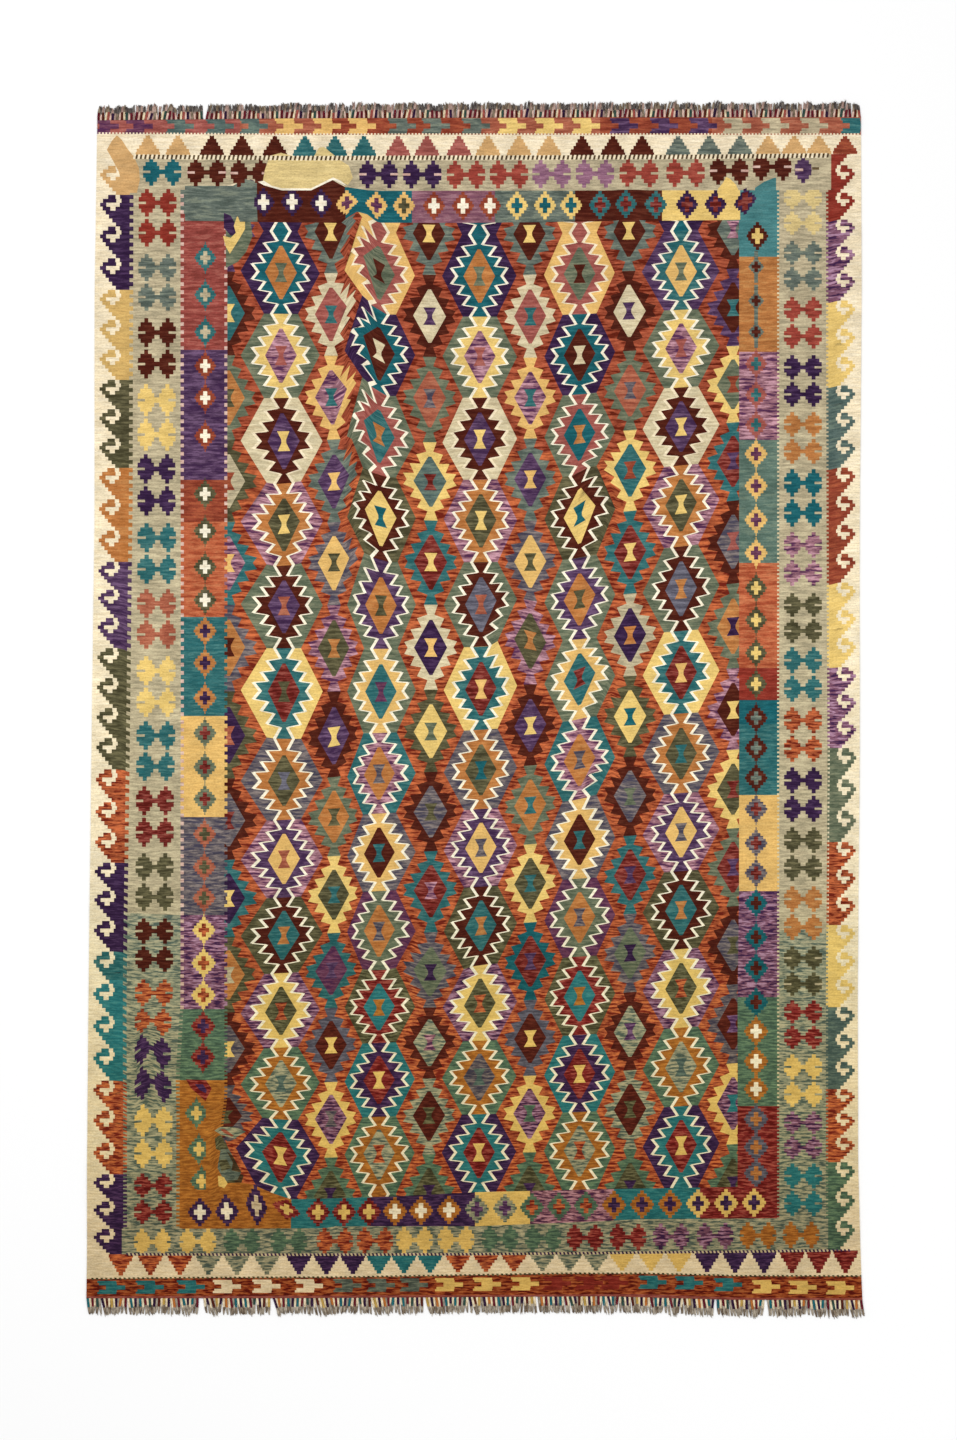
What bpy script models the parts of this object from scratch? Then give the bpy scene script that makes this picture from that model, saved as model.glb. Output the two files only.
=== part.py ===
"""Flat-woven wool rug, laid out on the floor with the low folds that stay in its cloth.

Units are metres, +Z is up and the floor is z = 0. The origin is under the middle of
the rug, X runs across it and Y along it. The cloth and its two fringes are separate
pieces.
"""

import math

import bmesh
import bpy

# Driving sizes
CLOTH_THICKNESS = 0.003
FRINGE_THICKNESS = 0.002
FRINGE_REACH = 1.545          # from the middle of the rug to the tips of the longest strands
FRINGE_SEAM = 0.0003          # gap between the cloth and each fringe
FRINGE_BAND = 0.006           # closed strip at the foot of the strands
STRAND_BUNDLES = 58           # teeth of the comb that stands for each fringe
BUNDLE_FOOT = 0.025           # width of a bundle where it leaves the strip
BUNDLE_TIP = 0.017            # width of a bundle at its end
BUNDLE_LEAN = 0.005           # how far a tip wanders to one side
BUNDLE_SHORTFALL = 0.007      # how much shorter the shortest bundles are
COLUMNS = 96                  # cells across the cloth
ROWS = 40                     # cells along the cloth

# The long edges wander. Columns: along the rug, left edge, right edge
SIDE_EDGES = (
    (1.503, -0.961, 0.985),
    (1.042, -0.968, 0.987),
    (0.481, -0.968, 0.982),
    (-0.131, -0.976, 0.982),
    (-0.718, -0.983, 0.977),
    (-1.151, -0.987, 0.978),
    (-1.381, -0.987, 0.984),
    (-1.503, -0.989, 0.989),
)

# So do the ends. Columns: share of the width from the left, upper end, lower end
END_EDGES = (
    (0.00, 1.499, -1.503),
    (0.25, 1.504, -1.503),
    (0.50, 1.506, -1.500),
    (0.67, 1.507, -1.498),
    (0.83, 1.507, -1.507),
    (1.00, 1.507, -1.508),
)

# Low folds left in the cloth. Columns: middle across, middle along, length, width,
# height, and turn in degrees from the length of the rug
FOLDS = (
    (-0.286, 0.640, 1.52, 0.100, 0.006, 0),
    (-0.352, 0.180, 0.70, 0.090, 0.003, 0),
    (0.068, 0.050, 1.56, 0.100, 0.003, 0),
    (0.322, 0.020, 1.60, 0.100, 0.004, 0),
    (0.690, 1.220, 0.34, 0.130, 0.003, 0),
    (-0.800, -0.900, 0.40, 0.110, 0.003, 0),
    (-0.600, -1.120, 0.62, 0.160, 0.005, 24),
)


def clear_scene():
    for old in list(bpy.data.objects):
        bpy.data.objects.remove(old, do_unlink=True)


def between(table, place):
    """Read the other columns of a table at a place in its first column."""
    rows = sorted(table)
    place = min(max(place, rows[0][0]), rows[-1][0])
    for low, high in zip(rows, rows[1:]):
        if place <= high[0]:
            share = (place - low[0]) / (high[0] - low[0])
            return [a + (b - a) * share for a, b in zip(low[1:], high[1:])]
    return list(rows[-1][1:])


def fold_height(x, y):
    """Height of the underside over the floor."""
    height = 0.0
    for across, along, length, width, rise, turn in FOLDS:
        turned = math.radians(turn)
        over, up = x - across, y - along
        side = (over * math.cos(turned) + up * math.sin(turned)) / (width / 2)
        run = (up * math.cos(turned) - over * math.sin(turned)) / (length / 2)
        if abs(side) < 1 and abs(run) < 1:
            height += rise * (math.cos(side * math.pi / 2) * math.cos(run * math.pi / 2)) ** 2
    return height


def cloth_point(across_share, along_share):
    """A place on the cloth, from shares of its width (left to right) and length (low to high)."""
    upper, lower = between(END_EDGES, across_share)
    y = lower + (upper - lower) * along_share
    nominal = SIDE_EDGES[-1][0] + (SIDE_EDGES[0][0] - SIDE_EDGES[-1][0]) * along_share
    left, right = between(SIDE_EDGES, nominal)
    x = left + (right - left) * across_share
    return x, y


def wool(name, colour, roughness):
    material = bpy.data.materials.new(name)
    material.use_nodes = True
    surface = material.node_tree.nodes["Principled BSDF"]
    surface.inputs["Base Color"].default_value = (*colour, 1.0)
    surface.inputs["Roughness"].default_value = roughness
    surface.inputs["Metallic"].default_value = 0.0
    return material


def add_cloth(collection):
    """The woven body: an open grid over the folds, thickened upwards."""
    mesh = bpy.data.meshes.new("kilim_body")
    grid = bmesh.new()
    bmesh.ops.create_grid(grid, x_segments=COLUMNS, y_segments=ROWS, size=0.5)
    for vertex in grid.verts:
        x, y = cloth_point(vertex.co.x + 0.5, vertex.co.y + 0.5)
        vertex.co = (x, y, fold_height(x, y))
    grid.to_mesh(mesh)
    grid.free()

    cloth = bpy.data.objects.new("kilim_body", mesh)
    cloth.data.materials.append(wool("rug_wool", (0.35, 0.10, 0.05), 0.9))
    collection.objects.link(cloth)
    thicken = cloth.modifiers.new("thickness", "SOLIDIFY")
    thicken.thickness = CLOTH_THICKNESS
    thicken.offset = 1.0
    return cloth


def fringe_outline(end):
    """Outline of one fringe: along the cloth, then back over the bundles. end is 1 or -1."""
    along_share = 0.5 + end / 2
    seam = []
    for column in range(COLUMNS + 1):
        x, y = cloth_point(column / COLUMNS, along_share)
        seam.append((x, y + end * FRINGE_SEAM))

    left, right = seam[0][0], seam[-1][0]
    pitch = (right - left) / STRAND_BUNDLES
    teeth = []
    for bundle in reversed(range(STRAND_BUNDLES)):
        share = (bundle + 0.5) / STRAND_BUNDLES
        middle = left + pitch * (bundle + 0.5)
        root = cloth_point(share, along_share)[1] + end * (FRINGE_SEAM + FRINGE_BAND)
        tip = end * (FRINGE_REACH - BUNDLE_SHORTFALL * abs(math.sin(bundle * 1.7)))
        lean = BUNDLE_LEAN * math.sin(bundle * 2.3 + end)
        teeth.append((middle + BUNDLE_FOOT / 2, root))
        teeth.append((middle + lean + BUNDLE_TIP / 2, tip))
        teeth.append((middle + lean - BUNDLE_TIP / 2, tip))
        teeth.append((middle - BUNDLE_FOOT / 2, root))
    return seam + teeth


def add_fringe(collection, name, end, material):
    """One fringe: a flat comb that lies on the floor along an end of the cloth."""
    curve = bpy.data.curves.new(name, "CURVE")
    curve.dimensions = "2D"
    curve.fill_mode = "BOTH"
    curve.extrude = FRINGE_THICKNESS / 2
    points = fringe_outline(end)
    outline = curve.splines.new("POLY")
    outline.points.add(len(points) - 1)
    for point, (x, y) in zip(outline.points, points):
        point.co = (x, y, 0.0, 1.0)
    outline.use_cyclic_u = True
    curve.materials.append(material)

    fringe = bpy.data.objects.new(name, curve)
    fringe.location.z = FRINGE_THICKNESS / 2
    collection.objects.link(fringe)
    return fringe


def main():
    clear_scene()
    collection = bpy.data.collections.new("kilim_rug")
    bpy.context.scene.collection.children.link(collection)
    add_cloth(collection)
    warp = wool("fringe_wool", (0.42, 0.38, 0.31), 0.95)
    add_fringe(collection, "fringe_top", 1, warp)
    add_fringe(collection, "fringe_bottom", -1, warp)


main()
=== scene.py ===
import math
import random

import bmesh
import bpy
from mathutils import Matrix, Vector, noise
from mathutils.geometry import delaunay_2d_cdt


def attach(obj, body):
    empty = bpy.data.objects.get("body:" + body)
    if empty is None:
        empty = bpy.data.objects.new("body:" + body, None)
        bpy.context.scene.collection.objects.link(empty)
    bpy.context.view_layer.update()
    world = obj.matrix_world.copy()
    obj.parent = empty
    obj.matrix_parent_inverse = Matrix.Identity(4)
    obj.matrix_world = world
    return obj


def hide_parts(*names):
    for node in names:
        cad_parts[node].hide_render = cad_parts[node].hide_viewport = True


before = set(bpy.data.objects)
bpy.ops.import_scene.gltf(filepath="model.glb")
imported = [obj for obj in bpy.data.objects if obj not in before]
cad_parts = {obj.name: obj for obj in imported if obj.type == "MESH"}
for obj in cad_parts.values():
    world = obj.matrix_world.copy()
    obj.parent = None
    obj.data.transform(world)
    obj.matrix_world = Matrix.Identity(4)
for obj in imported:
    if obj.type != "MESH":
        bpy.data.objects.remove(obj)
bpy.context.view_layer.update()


def toLinear(hexColour):  # an sRGB hex value as the linear colour that shaders take
    parts = [int(hexColour[n:n + 2], 16) / 255 for n in (0, 2, 4)]
    return tuple(p / 12.92 if p <= 0.04045 else ((p + 0.055) / 1.055) ** 2.4 for p in parts)


# The loom: the rug is charted in warps across and as many down, counted from the upper left
loom = {
    "warpGap": 0.00255,  # metres from one charted warp to the next
    "middle": (474.4, 708.5),  # the warp and the row over the origin
    "thickness": 0.003,
    "ripple": 0.0011,  # the slack of handwoven cloth, all over
    "rippleSize": 0.19,
    "fineRipple": (0.5, 0.4),  # height and size of its finer slack, as shares of these
    "level": 0.6,  # how much of the slack lifts off the floor
    "ease": 15,  # spacing of the points that let the cloth bend, in warps
    "backEase": 30,  # the same on the underside
    "margin": 3,  # how far these points stay from the edge, in warps
    "merge": 1e-4,  # charted points nearer than this are one, in warps
    "weld": 2e-5,  # points of the rim nearer than this are one
}

# Long edges: along the rug, left edge, right edge
sideEdges = (
    (1.503, -0.961, 0.985), (1.042, -0.968, 0.987), (0.481, -0.968, 0.982), (-0.131, -0.976, 0.982),
    (-0.718, -0.983, 0.977), (-1.151, -0.987, 0.978), (-1.381, -0.987, 0.984), (-1.503, -0.989, 0.989),
)
# Ends: share of the width from the left, upper end, lower end
endEdges = (
    (0.00, 1.499, -1.503), (0.25, 1.504, -1.503), (0.50, 1.506, -1.500),
    (0.67, 1.507, -1.498), (0.83, 1.507, -1.507), (1.00, 1.507, -1.508),
)
# Low folds: middle across, middle along, length, width, height, turn in degrees
folds = (
    (-0.286, 0.640, 1.52, 0.100, 0.006, 0), (-0.352, 0.180, 0.70, 0.090, 0.003, 0),
    (0.068, 0.050, 1.56, 0.100, 0.003, 0), (0.322, 0.020, 1.60, 0.100, 0.004, 0),
    (0.690, 1.220, 0.34, 0.130, 0.003, 0), (-0.800, -0.900, 0.40, 0.110, 0.003, 0),
    (-0.600, -1.120, 0.62, 0.160, 0.005, 24),
)
# Where the folds draw the pattern out of line: from warp, to warp, how soon it starts and stops,
# from row, to row, shift across, shift down
pulls = (
    (339, 381, 15, 20, 190, 490, 0, -10), (339, 381, 15, 20, 190, 615, 0, -9),
    (345, 420, 30, 30, 470, 760, 2, 2), (395, 460, 25, 25, 380, 520, 0, 4),
    (485, 545, 15, 25, 560, 700, 0, -6), (576, 622, 14, 18, 430, 570, 0, -9),
    (580, 622, 14, 18, 560, 640, 0, -5), (576, 622, 14, 18, 630, 745, 0, -7),
    (580, 622, 14, 18, 740, 830, 0, -8), (400, 480, 25, 25, 890, 1030, 0, 5),
    (250, 345, 30, 20, 690, 800, 0, 4), (255, 300, 20, 20, 430, 620, 0, 3),
    (133, 167, 15, 15, 1000, 1140, 0, -7), (208, 288, 20, 42, 1090, 1225, -5, -9),
    (238, 374, 30, 40, 190, 1220, 1.6, 0.5), (238, 374, 30, 40, 390, 985, 3.0, 0.8),
    (300, 350, 22, 22, 410, 560, 0, 2), (395, 570, 35, 40, 250, 1100, 0.8, 1.5),
    (400, 520, 30, 40, 450, 1000, 1.2, 0), (500, 605, 30, 30, 290, 640, 0, 1.5),
    (400, 455, 25, 25, 820, 1060, 0, 1), (355, 405, 20, 20, 890, 1050, 0, 3),
    (606, 655, 20, 20, 150, 370, -1.3, -1), (84, 131, 1, 12, 560, 810, 0, -4),
    (84, 131, 1, 12, 850, 1170, 0, -3.5), (830, 870, 10, 1, 170, 690, 0, -2.4),
    (133, 184, 15, 15, 480, 800, 1.6, 0), (133, 184, 15, 15, 980, 1120, -2.2, 0),
)
pullEase = 60  # rows over which such a shift starts and stops


def readTable(table, place):  # the other columns of a table at a place in its first column
    rows = sorted(table)
    place = min(max(place, rows[0][0]), rows[-1][0])
    for low, high in zip(rows, rows[1:]):
        if place <= high[0]:
            share = (place - low[0]) / (high[0] - low[0])
            return [a + (b - a) * share for a, b in zip(low[1:], high[1:])]
    return list(rows[-1][1:])


def foldHeight(x, y):  # height of the underside over the floor
    height = 0.0
    for across, along, length, width, rise, turn in folds:
        turned = math.radians(turn)
        over, up = x - across, y - along
        side = (over * math.cos(turned) + up * math.sin(turned)) / (width / 2)
        run = (up * math.cos(turned) - over * math.sin(turned)) / (length / 2)
        if abs(side) < 1 and abs(run) < 1:
            height += rise * (math.cos(side * math.pi / 2) * math.cos(run * math.pi / 2)) ** 2
    return height


def toMetres(warp, row):
    return ((warp - loom["middle"][0]) * loom["warpGap"], (loom["middle"][1] - row) * loom["warpGap"])


def toChart(x, y):
    return (x / loom["warpGap"] + loom["middle"][0], loom["middle"][1] - y / loom["warpGap"])


def eased(share):  # 0 to 1 with a soft start and stop
    share = min(max(share, 0.0), 1.0)
    return share * share * (3 - 2 * share)


def pulled(warp, row):  # where the folds carry a charted point
    across, down = 0.0, 0.0
    for left, right, rise, fall, top, bottom, sideways, downwards in pulls:
        if left < warp < right and top < row < bottom:
            share = eased(min((warp - left) / rise, (right - warp) / fall))
            share *= eased(min((row - top) / pullEase, (bottom - row) / pullEase))
            across += sideways * share
            down += downwards * share
    return warp + across, row + down


def clothPoint(acrossShare, alongShare):
    upper, lower = readTable(endEdges, acrossShare)
    y = lower + (upper - lower) * alongShare
    nominal = sideEdges[-1][0] + (sideEdges[0][0] - sideEdges[-1][0]) * alongShare
    left, right = readTable(sideEdges, nominal)
    return left + (right - left) * acrossShare, y


def clothOutline(cells=64):  # once round the edge of the cloth, in warps and rows
    shares = [n / cells for n in range(cells)]
    points = [clothPoint(s, 0) for s in shares] + [clothPoint(1, s) for s in shares]
    points += [clothPoint(1 - s, 1) for s in shares] + [clothPoint(0, 1 - s) for s in shares]
    return [toChart(x, y) for x, y in points]


# Yarns: colour, deep and pale ends of its uneven dye, and how strongly they show
yarns = {
    "cream": ("f3e3c0", "dfcaa2", "fcf1d8", 0.3), "white": ("fbf2d8", "ead6b0", "fffbe8", 0.3),
    "ecru": ("d6c8a2", "bda984", "e8dab6", 0.5), "khaki": ("bbad8c", "8d866c", "d6caa4", 0.5),
    "greyKhaki": ("96987f", "5a685e", "b8b292", 1.0), "rust": ("a45231", "6e2012", "cc6c40", 1.0),
    "dimGreen": ("5f766a", "4c6458", "7a8c78", 0.6), "terracotta": ("b9613f", "963f26", "cc7c54", 0.7),
    "brick": ("92442f", "6c2214", "b2603e", 0.5), "brickRed": ("8c3226", "6c1c12", "a44c3c", 0.4),
    "madder": ("782c26", "521008", "9c5448", 0.8), "maroon": ("4f1e12", "3c0d06", "683424", 0.5),
    "rose": ("9f564d", "803e38", "b87468", 0.5), "coral": ("a75e46", "8a4232", "c07a5e", 0.6),
    "orange": ("b87842", "985c2e", "cf985c", 0.5), "orangeBrown": ("ba7740", "985822", "d09458", 0.45),
    "gold": ("e4b86c", "d0a460", "edc880", 0.25), "yellow": ("e9c775", "d6b462", "f3d688", 0.25),
    "mustard": ("d0ab66", "c19a58", "dab970", 0.3), "tanGold": ("d0a56c", "bf8f58", "dcb680", 0.2),
    "olive": ("565239", "3b3722", "777050", 0.7), "sage": ("68705a", "4c5744", "85876c", 0.7),
    "slate": ("645c60", "464252", "887c78", 1.0), "slateGreen": ("667066", "48544c", "868e7a", 0.7),
    "slateBlue": ("62606c", "484652", "7c7a86", 0.7), "slateTeal": ("586a64", "3e5450", "748676", 0.6),
    "teal": ("33696a", "155459", "558580", 0.55), "petrol": ("1a5e66", "0c464e", "33767a", 0.4),
    "purple": ("533a58", "3a2044", "745878", 0.8), "plum": ("805468", "42244a", "b088a0", 1.0),
    "aubergine": ("65384f", "45224a", "7c5068", 0.7), "umber": ("54422c", "382a1a", "6e5a3c", 0.6),
    "darkPurple": ("372142", "261030", "523a5c", 0.6), "lilac": ("966873", "562e50", "c898a4", 1.0),
    "bandRust": ("9c4924", "66180a", "b86c3e", 1.0), "roseBrick": ("964840", "743028", "b26a5c", 0.6),
    "oldRust": ("9a4830", "66200f", "b85e40", 1.0), "scarlet": ("9b4236", "783024", "b45c4a", 0.6),
    "duskyRose": ("8a5c68", "6c3e54", "a67c84", 0.6), "dustyLilac": ("92667a", "744c66", "ac8294", 0.6),
    "paleTeal": ("498080", "386e70", "5f9290", 0.4), "paleGold": ("dcc484", "c8b27c", "e8d294", 0.4),
    "moss": ("5d7862", "42584c", "7a9474", 0.7), "seaTeal": ("337c81", "1c626a", "52928e", 0.5),
    "grape": ("442b53", "2e1a3c", "62466c", 0.7), "crimson": ("882e2b", "64160f", "ac5a4c", 0.9),
    "ember": ("ae5b3a", "7c2818", "d67c48", 1.0), "amber": ("b07130", "8c5420", "cc8c40", 0.6),
    "darkOlive": ("5f5c40", "3f3b26", "807c5c", 0.8), "wine": ("5a2417", "400f08", "74382a", 0.6),
    "violet": ("624164", "42244c", "866688", 0.9), "warpPink": ("a88c80", "8a6c64", "c4aca0", 0.6),
    "bottle": ("2e463e", "1e302a", "466056", 0.5), "nightPurple": ("2a1230", "1c0a1e", "3e2244", 0.5),
    "wrapOrange": ("ae672c", "8c5020", "c47c40", 0.5), "wrapYellow": ("b4924a", "927638", "c8a85c", 0.5),
    "wrapMadder": ("5e1622", "40080e", "7a2c34", 0.5), "boneCream": ("dfcca8", "b49e80", "f2e4c4", 0.6),
    "boneRose": ("d6b4a4", "ac8274", "e8ccbc", 0.6), "warpGrey": ("9c9080", "776a5a", "bcb09c", 0.8),
    "warpBrown": ("7c6c5a", "5a4a3c", "9c8c78", 0.8), "warpDark": ("5c5450", "3c3432", "7c746c", 0.8),
}
# The lower end has kept more of its dye: from this row on one yarn stands for another
freshRow = 985
fresher = {
    "sage": "moss", "teal": "seaTeal", "darkPurple": "grape", "madder": "crimson", "rust": "ember",
    "olive": "darkOlive", "orangeBrown": "amber", "khaki": "greyKhaki", "maroon": "wine",
    "purple": "violet", "brick": "ember",
}
areas = []  # (yarn, corners, fine): a later area is woven over an earlier one


def lay(yarn, corners, fine=False):  # what is fine shows on the upper side only
    areas.append((yarn, corners, fine))


def block(yarn, left, right, top, bottom, fine=False):
    lay(yarn, [(left, top), (right, top), (right, bottom), (left, bottom)], fine)


def lineAt(line, place):  # a line drawn through pairs: place along it, its height or its warp
    return readTable(line, place)[0]


def stairs(yarn, x, y, rise, spans, slope=0.0, fine=False):
    # a stepped shape round (x, y): one span for each row of steps, top row first
    top = y - rise * len(spans) / 2
    right, left = [], []
    for number, (low, high) in enumerate(spans):
        upper, lower = top + number * rise, top + (number + 1) * rise
        right += [(x + high, upper), (x + high, lower)]
        left += [(x + low, upper), (x + low, lower)]
    lay(yarn, [(px, py + (px - x) * slope) for px, py in right + left[::-1]], fine)


def evenSpans(widths):
    return [(-width, width) for width in widths]


# The field
columnsA = (279.5, 379.0, 479.0, 579.5, 681.0)
columnsB = (228.5, 329.5, 429.0, 529.5, 630.0, 733.0)
rowsA = (  # heights at the five columns; ground, star, inner and eye of columns 1, 3 and 5, and of 2 and 4
    ((190, 190, 194, 192, 190), "darkPurple petrol orangeBrown sage", "gold rose sage maroon"),
    ((272, 275, 276, 274, 272), "darkPurple petrol orangeBrown sage", "gold rose sage maroon"),
    ((355, 354, 355, 354, 348), "sage yellow lilac rose", "darkPurple petrol maroon ecru"),
    ((440, 438, 438, 433, 427), "ecru maroon purple yellow", "sage rose teal orange"),
    ((520, 516, 519, 516, 504), "lilac orangeBrown olive yellow", "olive maroon yellow petrol"),
    ((604, 604, 603, 599, 589), "sage maroon slateBlue orange", "sage purple orangeBrown olive"),
    ((690, 690, 688, 680, 673), "yellow teal madder gold", "sage gold teal madder"),
    ((779, 774, 769, 760, 754), "slate orangeBrown olive teal", "teal lilac orangeBrown slate"),
    ((858, 853, 846, 840, 832), "lilac purple gold slate", "slate gold maroon teal"),
    ((934, 929, 924, 917, 910), "olive maroon teal orange", "aubergine sage orangeBrown slate"),
    ((1011, 1005, 1002, 996, 988), "plum yellow olive brick", "olive madder teal orangeBrown"),
    ((1083, 1080, 1076, 1074, 1067), "sage orangeBrown slate slateTeal", "teal darkPurple madder yellow"),
    ((1156, 1153, 1152, 1150, 1145), "darkPurple teal madder yellow", "sage orangeBrown khaki rust"),
    ((1238, 1235, 1232, 1231, 1229), "darkPurple teal madder yellow", "sage orangeBrown khaki rust"),
)
rowsB = (  # ring, inner and eye of columns 2 and 4, of 3 and 5, of the left edge and of the right edge
    ("slateGreen maroon yellow", "slateGreen maroon yellow", "purple maroon yellow", "maroon slateGreen lilac"),
    ("ecru rose teal", "maroon ecru purple", "maroon teal yellow", "purple maroon teal"),
    ("gold lilac teal", "sage coral slate", "sage orange olive", "yellow sage brick"),
    ("slateGreen purple gold", "yellow teal madder", "olive khaki brick", "teal madder purple"),
    ("slate gold olive", "teal madder yellow", "teal lilac gold", "maroon slate rose"),
    ("lilac olive orange", "ecru darkPurple gold", "slate orange maroon", "sage orange darkPurple"),
    ("maroon purple yellow", "olive yellow petrol", "olive darkPurple coral", "lilac maroon yellow"),
    ("sage orangeBrown teal", "maroon slate olive", "maroon slate madder", "yellow olive madder"),
    ("yellow olive teal", "teal madder lilac", "teal darkPurple yellow", "sage madder purple"),
    ("petrol madder purple", "slate sage darkPurple", "olive orange khaki", "maroon slate olive"),
    ("slateBlue maroon yellow", "maroon khaki lilac", "maroon slate yellow", "slate maroon purple"),
    ("yellow plum sage", "khaki maroon olive", "slate maroon olive", "yellow plum teal"),
    ("sage olive darkPurple", "sage olive darkPurple", "umber olive yellow", "sage olive darkPurple"),
)
# stars that the weaver made otherwise, by row and column counted from 0: the large, then the small ones
oddA = {
    (1, 4): "purple teal gold sage", (3, 3): "sage rose petrol orange", (5, 0): "sage maroon purple coral",
    (5, 2): "sage maroon slateBlue coral", (6, 0): "yellow teal madder olive",
    (6, 1): "sage gold teal aubergine", (7, 0): "slate orangeBrown olive slateBlue",
    (7, 2): "slate orangeBrown olive petrol", (8, 0): "lilac purple gold coral",
    (11, 0): "sage orangeBrown greyKhaki slateTeal", (11, 4): "sage orangeBrown khaki slateTeal",
}
oddB = {
    (3, 2): "yellow slateTeal madder", (3, 4): "yellow teal brick", (5, 4): "khaki darkPurple orangeBrown",
    (6, 2): "olive yellow sage", (7, 1): "sage orangeBrown olive", (7, 4): "maroon slate sage",
    (8, 4): "teal madder purple", (9, 1): "teal aubergine purple", (10, 4): "maroon khaki purple",
    (11, 1): "yellow plum slate",
}
# half of a star's outline from its side down to the join below: share of the way, reach to the side
starA = ((0, 24), (.19, 30), (.23, 17), (.44, 23.2), (.48, 10.5), (.71, 16.8), (.76, 3.4), (1, 9.5))
starB = ((0, 22.5), (.14, 26), (.21, 15.5), (.42, 19.6), (.47, 9), (.68, 13.2), (.77, 3.4), (1, 6.8))
# right half of the figures in a star: reach to the side, share of the way up or down
innerA = ((1.5, -.645), (15.9, 0), (1.5, .645))
eyeA = ((6.2, -.23), (2.4, -.04), (2.4, .04), (6.2, .23))
innerB = ((1.5, -.65), (16.2, 0), (1.5, .65))
eyeB = ((6.4, -.215), (2.5, -.04), (2.5, .04), (6.4, .215))
field = {
    "sides": (222, 742),
    "yarns": (("oldRust", 218, 450), ("rust", 450, 980), ("rust", 980, 1200)),  # yarn, top, bottom
    "rowStep": 82,  # from row to row beyond the first and the last
    "past": .6,  # how far a row runs on past the outer columns, in columns
    "ground": (17, 38),  # reach of a large star's ground at its joins and at its sides
    "groundShares": (1.02, .94, .98, .94, 1.01),  # of that reach, column by column
    "rayShares": (.935, .97),  # the same for the rays, in the upper and in the lower rows
    "lowerFrom": 8,  # the first of the lower rows
    "joinFrom": .7,  # share of the way at which the join of two stars begins
    "edging": (1.55, .5),  # half the light edge of a star on its slants and on its levels
    "slant": .1,  # share of the way past which a line counts as a slant
}


def rowLine(row, x):  # the height of a row of large stars where it crosses x
    if row < 0 or row >= len(rowsA):
        edge = 0 if row < 0 else len(rowsA) - 1
        return rowLine(edge, x) + field["rowStep"] * (row - edge)
    heights = rowsA[row][0]
    last = len(columnsA) - 1
    share = (x - columnsA[0]) / (columnsA[last] - columnsA[0]) * last
    share = min(max(share, -field["past"]), last + field["past"])
    whole = min(max(int(share), 0), last - 1)
    return heights[whole] + (heights[whole + 1] - heights[whole]) * (share - whole)


def between(row, x):  # the height of the small stars under that row
    return (rowLine(row, x) + rowLine(row + 1, x)) / 2


def placed(lineOf, row, x0, reach, t):  # a point of a star, t from -1 (join above) to 1 (join below)
    x = x0 + reach
    here = lineOf(row, x)
    return (x, here + abs(t) * (lineOf(row + (1 if t > 0 else -1), x) - here) / 2)


def mirrored(lineOf, row, x0, rightSide):
    points = [placed(lineOf, row, x0, reach, t) for reach, t in rightSide]
    return points + [placed(lineOf, row, x0, -reach, t) for reach, t in reversed(rightSide)]


def star(lineOf, row, x0, profile):
    lower = [(reach, t) for t, reach in profile]
    return mirrored(lineOf, row, x0, [(reach, -t) for reach, t in reversed(lower)] + lower[1:])


def raysOf(row):  # the outline of the large stars in a row
    slim = field["rayShares"][row >= field["lowerFrom"]]
    return tuple((t, reach * (slim if t < field["joinFrom"] else 1)) for t, reach in starA)


def edging(row, x0, yarn):  # the light edge of a large star: bold on slants, thin on levels
    rays = raysOf(row)
    bold, thin = field["edging"]
    for sideways in (1, -1):
        for down in (1, -1):
            for (tA, reachA), (tB, reachB) in zip(rays, rays[1:]):
                a = placed(rowLine, row, x0, sideways * reachA, down * tA)
                b = placed(rowLine, row, x0, sideways * reachB, down * tB)
                over, up = (bold, 0) if abs(tB - tA) > field["slant"] else (0, thin)
                lay(yarn, [(a[0] - over, a[1] - up), (a[0] + over, a[1] + up),
                           (b[0] + over, b[1] + up), (b[0] - over, b[1] - up)], True)


def weaveField():
    for yarn, top, bottom in field["yarns"]:
        block(yarn, *field["sides"], top, bottom)
    for row, sets in enumerate(rowsB):
        for number, x0 in enumerate(columnsB):
            kind = {0: 2, 5: 3}.get(number, 1 - number % 2)
            ring, inner, eye = oddB.get((row, number), sets[kind]).split()
            lay(ring, star(between, row, x0, starB))
            lay(inner, mirrored(between, row, x0, innerB))
            lay(eye, mirrored(between, row, x0, eyeB))
    join, side = field["ground"]
    for row, (heights, odd, even) in enumerate(rowsA):
        for number, x0 in enumerate(columnsA):
            ground, ray, inner, eye = oddA.get((row, number), even if number % 2 else odd).split()
            reach = side * field["groundShares"][number]
            lay(ground, mirrored(rowLine, row, x0, [(join, -1), (reach, 0), (join, 1)]))
            lay(ray, star(rowLine, row, x0, raysOf(row)))
            lay(inner, mirrored(rowLine, row, x0, innerA))
            lay(eye, mirrored(rowLine, row, x0, eyeA))
    for row, (heights, odd, even) in enumerate(rowsA):
        for number, x0 in enumerate(columnsA):
            ground = (even if number % 2 else odd).split()[0]
            edging(row, x0, "cream" if ground in ("ecru", "gold") else "white")


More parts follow.
